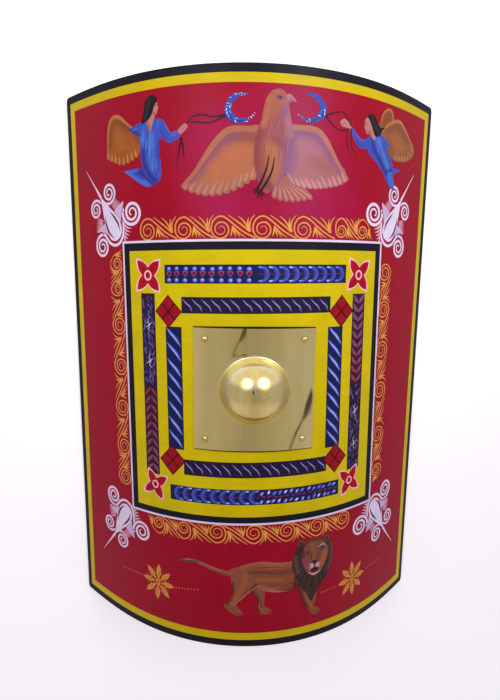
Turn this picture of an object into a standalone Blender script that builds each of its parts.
"""A Roman scutum: the tall curved shield, in painted plywood with a brass boss.

It lies painted face up, resting on its two long edges like an arch.
Metres, +Z up; +Y points to the shield's top end and +X to its right-hand edge.
The origin is the middle of the bounding box's underside.
"""
import math

import bmesh
import bpy
from mathutils import Matrix, Vector

# Board: a plywood sheet bent across its width
HEIGHT = 1.050
ARC_WIDTH = 0.853
CROWN_RADIUS = 0.3616
BOARD_THICKNESS = 0.008
CORNER_RADIUS = 0.008
BOARD_SEGMENTS = 44

# Where the boss sits, and the hand hole behind it
BOSS_V = -0.0145
HAND_HOLE_RADIUS = 0.056

# Boss: a square brass plate, bent a little tighter than the board, with a hollow dome
PLATE_WIDTH = 0.220
PLATE_HEIGHT = 0.224
PLATE_EDGE_GAP = 0.0005
PLATE_CROWN_GAP = 0.0026
BRASS_THICKNESS = 0.0012
DOME_SPHERE_RADIUS = 0.0625
DOME_HEIGHT = 0.047
DOME_BLEND = 0.004
DOME_STEEPEST = math.radians(76)
DOME_REACH = 0.066
BOSS_SPOKES = 56
DOME_RINGS = 9
BLEND_RINGS = 6
PLATE_RINGS = 4

# Rivets: a domed head, a shank through plate and board, and a flatter head behind
RIVET_INSET = 0.0205
RIVET_HEAD_RADIUS = 0.0055
RIVET_HEAD_RISE = 0.0032
RIVET_SHANK_RADIUS = 0.0025
RIVET_BACK_RADIUS = 0.0045
RIVET_BACK_RISE = 0.0018
RIVET_SIDES = 16
RIVET_ARC_STEPS = 4

# Grip: one wooden bar across the hand hole, with a foot at each end
GRIP_LENGTH = 0.236
GRIP_FOOT_START = 0.064
GRIP_HANDLE_END = 0.044
GRIP_HANDLE_TOP = -0.030
GRIP_UNDERSIDE = -0.053
GRIP_FOOT_TIP = 0.007
GRIP_HANDLE_HALF_WIDTH = 0.0155
GRIP_FOOT_HALF_WIDTH = 0.021
GRIP_HANDLE_SQUARENESS = 2.5
GRIP_FOOT_SQUARENESS = 7.0
GRIP_STATIONS = 29
GRIP_SIDES = 24

FIT_GAP = 0.0003
HALF_ARC = ARC_WIDTH / 2
SECTION_STEPS = 60


def tangent_angle(u):
    """Slope of the section at arc distance u: the bend fades to nothing at the long edges."""
    return (u - u ** 3 / (3 * HALF_ARC ** 2)) / CROWN_RADIUS


def section_point(u):
    """Sideways place and height, below the crown, of the painted face at arc distance u."""
    step = u / SECTION_STEPS
    angles = [tangent_angle((i + 0.5) * step) for i in range(SECTION_STEPS)]
    x = step * sum(math.cos(a) for a in angles)
    z = -step * sum(math.sin(a) for a in angles)
    return x, z


CROWN_Z = BOARD_THICKNESS * math.cos(tangent_angle(HALF_ARC)) - section_point(HALF_ARC)[1]


def on_face(u, v, out=0.0):
    """The point that stands out from the painted face at arc distance u and height v."""
    x, z = section_point(u)
    angle = tangent_angle(u)
    return Vector((x + out * math.sin(angle), v, CROWN_Z + z + out * math.cos(angle)))


def smoothstep(low, high, value):
    t = min(max((value - low) / (high - low), 0.0), 1.0)
    return t * t * (3 - 2 * t)


def mix(a, b, t):
    return a + (b - a) * t


def make_collection(name):
    collection = bpy.data.collections.new(name)
    bpy.context.scene.collection.children.link(collection)
    return collection


def make_material(name, color, roughness, metallic=0.0):
    material = bpy.data.materials.new(name)
    material.use_nodes = True
    shader = material.node_tree.nodes["Principled BSDF"]
    shader.inputs["Base Color"].default_value = (*color, 1.0)
    shader.inputs["Roughness"].default_value = roughness
    shader.inputs["Metallic"].default_value = metallic
    material.diffuse_color = (*color, 1.0)
    return material


def make_object(name, bm, collection, material=None, smooth_angle=30):
    """Turns a bmesh into an object of the given collection, smooth except at sharp turns."""
    mesh = bpy.data.meshes.new(name)
    bm.to_mesh(mesh)
    bm.free()
    mesh.shade_smooth()
    mesh.set_sharp_from_angle(angle=math.radians(smooth_angle))
    item = bpy.data.objects.new(name, mesh)
    collection.objects.link(item)
    if material:
        mesh.materials.append(material)
    return item


def add_solidify(item, thickness):
    solidify = item.modifiers.new("thickness", "SOLIDIFY")
    solidify.thickness = thickness
    solidify.offset = -1.0
    solidify.use_even_offset = True


def add_cuts(item, cutters):
    for cutter in cutters:
        cut = item.modifiers.new("cut_" + cutter.name, "BOOLEAN")
        cut.operation = "DIFFERENCE"
        cut.object = cutter


def face_frame(u, v, out):
    """A matrix whose Z axis is the painted face's normal at that place."""
    return Matrix.Translation(on_face(u, v, out)) @ Matrix.Rotation(tangent_angle(u), 4, "Y")


def make_drill(name, radius, length, frame, sides, collection):
    bm = bmesh.new()
    bmesh.ops.create_cone(
        bm, cap_ends=True, segments=sides, radius1=radius, radius2=radius, depth=length
    )
    drill = make_object(name, bm, collection)
    drill.matrix_world = frame
    drill.hide_render = True
    drill.display_type = "WIRE"
    return drill


def rivet_places():
    """Name, arc distance and height of each rivet, near the plate's corners."""
    reach_u = PLATE_WIDTH / 2 - RIVET_INSET
    reach_v = PLATE_HEIGHT / 2 - RIVET_INSET
    for row, sign_v in (("top", 1), ("bottom", -1)):
        for side, sign_u in (("left", -1), ("right", 1)):
            yield f"rivet_{row}_{side}", sign_u * reach_u, BOSS_V + sign_v * reach_v


def make_board(collection, material, cutters):
    """A flat sheet with rounded corners, bent to the section and given its thickness."""
    bm = bmesh.new()
    bmesh.ops.create_grid(bm, x_segments=BOARD_SEGMENTS, y_segments=1, size=0.5)
    bmesh.ops.scale(bm, vec=(ARC_WIDTH, HEIGHT, 1.0), verts=bm.verts)
    corners = [vert for vert in bm.verts if len(vert.link_edges) == 2]
    bmesh.ops.bevel(
        bm, geom=corners, offset=CORNER_RADIUS, segments=4, profile=0.5, affect="VERTICES"
    )
    for vert in bm.verts:
        vert.co = on_face(vert.co.x, vert.co.y)
    board = make_object("board", bm, collection, material)
    add_solidify(board, BOARD_THICKNESS)
    add_cuts(board, cutters)
    return board


def plate_gap(u):
    """Air between the board and the plate, which touches it only along its two sides."""
    across = min(abs(u) / (PLATE_WIDTH / 2), 1.0)
    return mix(PLATE_CROWN_GAP, PLATE_EDGE_GAP, across ** 2)


def dome_height(radius):
    """Height of the dome's sphere over the plate's crown, carried on straight down its foot."""
    steepest_radius = DOME_SPHERE_RADIUS * math.sin(DOME_STEEPEST)
    inside = min(radius, steepest_radius)
    top = DOME_HEIGHT - DOME_SPHERE_RADIUS + math.sqrt(DOME_SPHERE_RADIUS ** 2 - inside ** 2)
    return top - (radius - inside) * math.tan(DOME_STEEPEST)


def boss_point(u, v):
    """Outer face of the boss: the higher of the bent plate and the dome, blended at the foot."""
    plate = on_face(u, BOSS_V + v, plate_gap(u) + BRASS_THICKNESS)
    crown = on_face(0.0, 0.0, PLATE_CROWN_GAP + BRASS_THICKNESS)
    dome_z = crown.z + dome_height(math.hypot(plate.x, v))
    apart = dome_z - plate.z
    plate.z += (apart + math.sqrt(apart ** 2 + DOME_BLEND ** 2)) / 2
    return plate


def boss_rings():
    """Reach of each ring from the dome's axis, as (circle radius, share of the way to the rim)."""
    foot = DOME_REACH - 2 * DOME_BLEND
    for ring in range(1, DOME_RINGS + 1):
        polar = math.asin(foot / DOME_SPHERE_RADIUS) * ring / DOME_RINGS
        yield DOME_SPHERE_RADIUS * math.sin(polar), 0.0
    for ring in range(1, BLEND_RINGS + 1):
        yield mix(foot, DOME_REACH, ring / BLEND_RINGS), 0.0
    for ring in range(1, PLATE_RINGS + 1):
        yield DOME_REACH, ring / PLATE_RINGS


def make_boss(collection, material, cutters):
    """Rings of a polar net run out from the dome's top and turn square at the plate's rim."""
    bm = bmesh.new()
    pole = bm.verts.new(boss_point(0.0, 0.0))
    inner = None
    for radius, share in boss_rings():
        ring = []
        for spoke in range(BOSS_SPOKES):
            angle = 2 * math.pi * spoke / BOSS_SPOKES
            x, y = math.cos(angle), math.sin(angle)
            square = 1 / max(abs(x), abs(y))
            u = mix(radius * x, PLATE_WIDTH / 2 * x * square, share)
            v = mix(radius * y, PLATE_HEIGHT / 2 * y * square, share)
            ring.append(bm.verts.new(boss_point(u, v)))
        for spoke in range(BOSS_SPOKES):
            after = (spoke + 1) % BOSS_SPOKES
            if inner:
                bm.faces.new((inner[spoke], ring[spoke], ring[after], inner[after]))
            else:
                bm.faces.new((pole, ring[spoke], ring[after]))
        inner = ring
    boss = make_object("boss", bm, collection, material, smooth_angle=40)
    add_solidify(boss, BRASS_THICKNESS)
    add_cuts(boss, cutters)
    return boss


def cap_arc(radius, rise):
    """Points of a low round cap, from its rim to its top, as (radius, height) pairs."""
    sphere = (radius ** 2 + rise ** 2) / (2 * rise)
    half_angle = math.asin(radius / sphere)
    for step in range(RIVET_ARC_STEPS + 1):
        angle = half_angle * (1 - step / RIVET_ARC_STEPS)
        yield sphere * math.sin(angle), rise - sphere * (1 - math.cos(angle))


def make_rivet(name, u, v, collection, material):
    """Turned about its own axis, which is the board's normal: head, shank and back head."""
    top = plate_gap(u) + BRASS_THICKNESS + FIT_GAP
    bottom = -BOARD_THICKNESS - FIT_GAP
    profile = [(r, top + h) for r, h in reversed(list(cap_arc(RIVET_HEAD_RADIUS, RIVET_HEAD_RISE)))]
    profile += [(RIVET_SHANK_RADIUS, top), (RIVET_SHANK_RADIUS, bottom)]
    profile += [(r, bottom - h) for r, h in cap_arc(RIVET_BACK_RADIUS, RIVET_BACK_RISE)]
    bm = bmesh.new()
    chain = [bm.verts.new((r, 0.0, z)) for r, z in profile]
    edges = [bm.edges.new(pair) for pair in zip(chain, chain[1:])]
    bmesh.ops.spin(
        bm, geom=chain + edges, axis=(0, 0, 1), cent=(0, 0, 0),
        angle=2 * math.pi, steps=RIVET_SIDES, use_merge=True,
    )
    bmesh.ops.remove_doubles(bm, verts=bm.verts, dist=1e-6)
    bmesh.ops.recalc_face_normals(bm, faces=bm.faces)
    rivet = make_object(name, bm, collection, material, smooth_angle=50)
    rivet.matrix_world = face_frame(u, v, 0.0)
    return rivet


def inner_face_height(x):
    """Height of the board's inner face, below the crown, at sideways place x."""
    low, high = 0.0, HALF_ARC
    for _ in range(30):
        u = (low + high) / 2
        face = on_face(u, 0.0, -BOARD_THICKNESS)
        if face.x < abs(x):
            low = u
        else:
            high = u
    return face.z - CROWN_Z


def grip_section(x):
    """Half width, underside, top and squareness of the grip's section at sideways place x."""
    foot = smoothstep(GRIP_HANDLE_END, GRIP_FOOT_START, abs(x))
    tip = smoothstep(GRIP_FOOT_START, GRIP_LENGTH / 2, abs(x))
    seat = inner_face_height(x) - FIT_GAP
    half_width = mix(GRIP_HANDLE_HALF_WIDTH, GRIP_FOOT_HALF_WIDTH, foot)
    underside = mix(GRIP_UNDERSIDE, seat - GRIP_FOOT_TIP, tip)
    top = mix(GRIP_HANDLE_TOP, seat, foot)
    squareness = mix(GRIP_HANDLE_SQUARENESS, GRIP_FOOT_SQUARENESS, foot)
    return half_width, underside, top, squareness


def make_grip(collection, material):
    """A loft along X through rounded sections, its two feet shaped to the board's inner face."""
    bm = bmesh.new()
    before = None
    for station in range(GRIP_STATIONS):
        x = GRIP_LENGTH * (station / (GRIP_STATIONS - 1) - 0.5)
        half_width, underside, top, squareness = grip_section(x)
        ring = []
        for side in range(GRIP_SIDES):
            angle = 2 * math.pi * side / GRIP_SIDES
            across, upward = math.cos(angle), math.sin(angle)
            y = half_width * math.copysign(abs(across) ** (2 / squareness), across)
            z = math.copysign(abs(upward) ** (2 / squareness), upward)
            height = mix(underside, top, (z + 1) / 2)
            ring.append(bm.verts.new((x, BOSS_V + y, CROWN_Z + height)))
        if before:
            for side in range(GRIP_SIDES):
                after = (side + 1) % GRIP_SIDES
                bm.faces.new((before[side], before[after], ring[after], ring[side]))
        else:
            bm.faces.new(ring)
        before = ring
    bm.faces.new(before)
    bmesh.ops.recalc_face_normals(bm, faces=bm.faces)
    return make_object("grip", bm, collection, material, smooth_angle=50)


def clear_scene():
    for item in list(bpy.data.objects):
        bpy.data.objects.remove(item, do_unlink=True)


def main():
    clear_scene()
    shield = make_collection("roman_scutum")
    cutters = make_collection("cutters")
    painted = make_material("painted_plywood", (0.33, 0.012, 0.022), 0.35)
    brass = make_material("polished_brass", (0.72, 0.50, 0.20), 0.12, metallic=1.0)
    timber = make_material("plain_timber", (0.42, 0.26, 0.13), 0.6)

    drills = []
    for name, u, v in rivet_places():
        frame = face_frame(u, v, 0.0)
        drills.append(
            make_drill(name + "_hole", RIVET_SHANK_RADIUS + FIT_GAP, 0.04, frame, RIVET_SIDES, cutters)
        )
    hand_frame = face_frame(0.0, BOSS_V, 0.0)
    hand_hole = make_drill("hand_hole", HAND_HOLE_RADIUS, 0.06, hand_frame, BOSS_SPOKES, cutters)

    make_board(shield, painted, [hand_hole, *drills])
    make_boss(shield, brass, drills)
    for name, u, v in rivet_places():
        make_rivet(name, u, v, shield, brass)
    make_grip(shield, timber)


main()
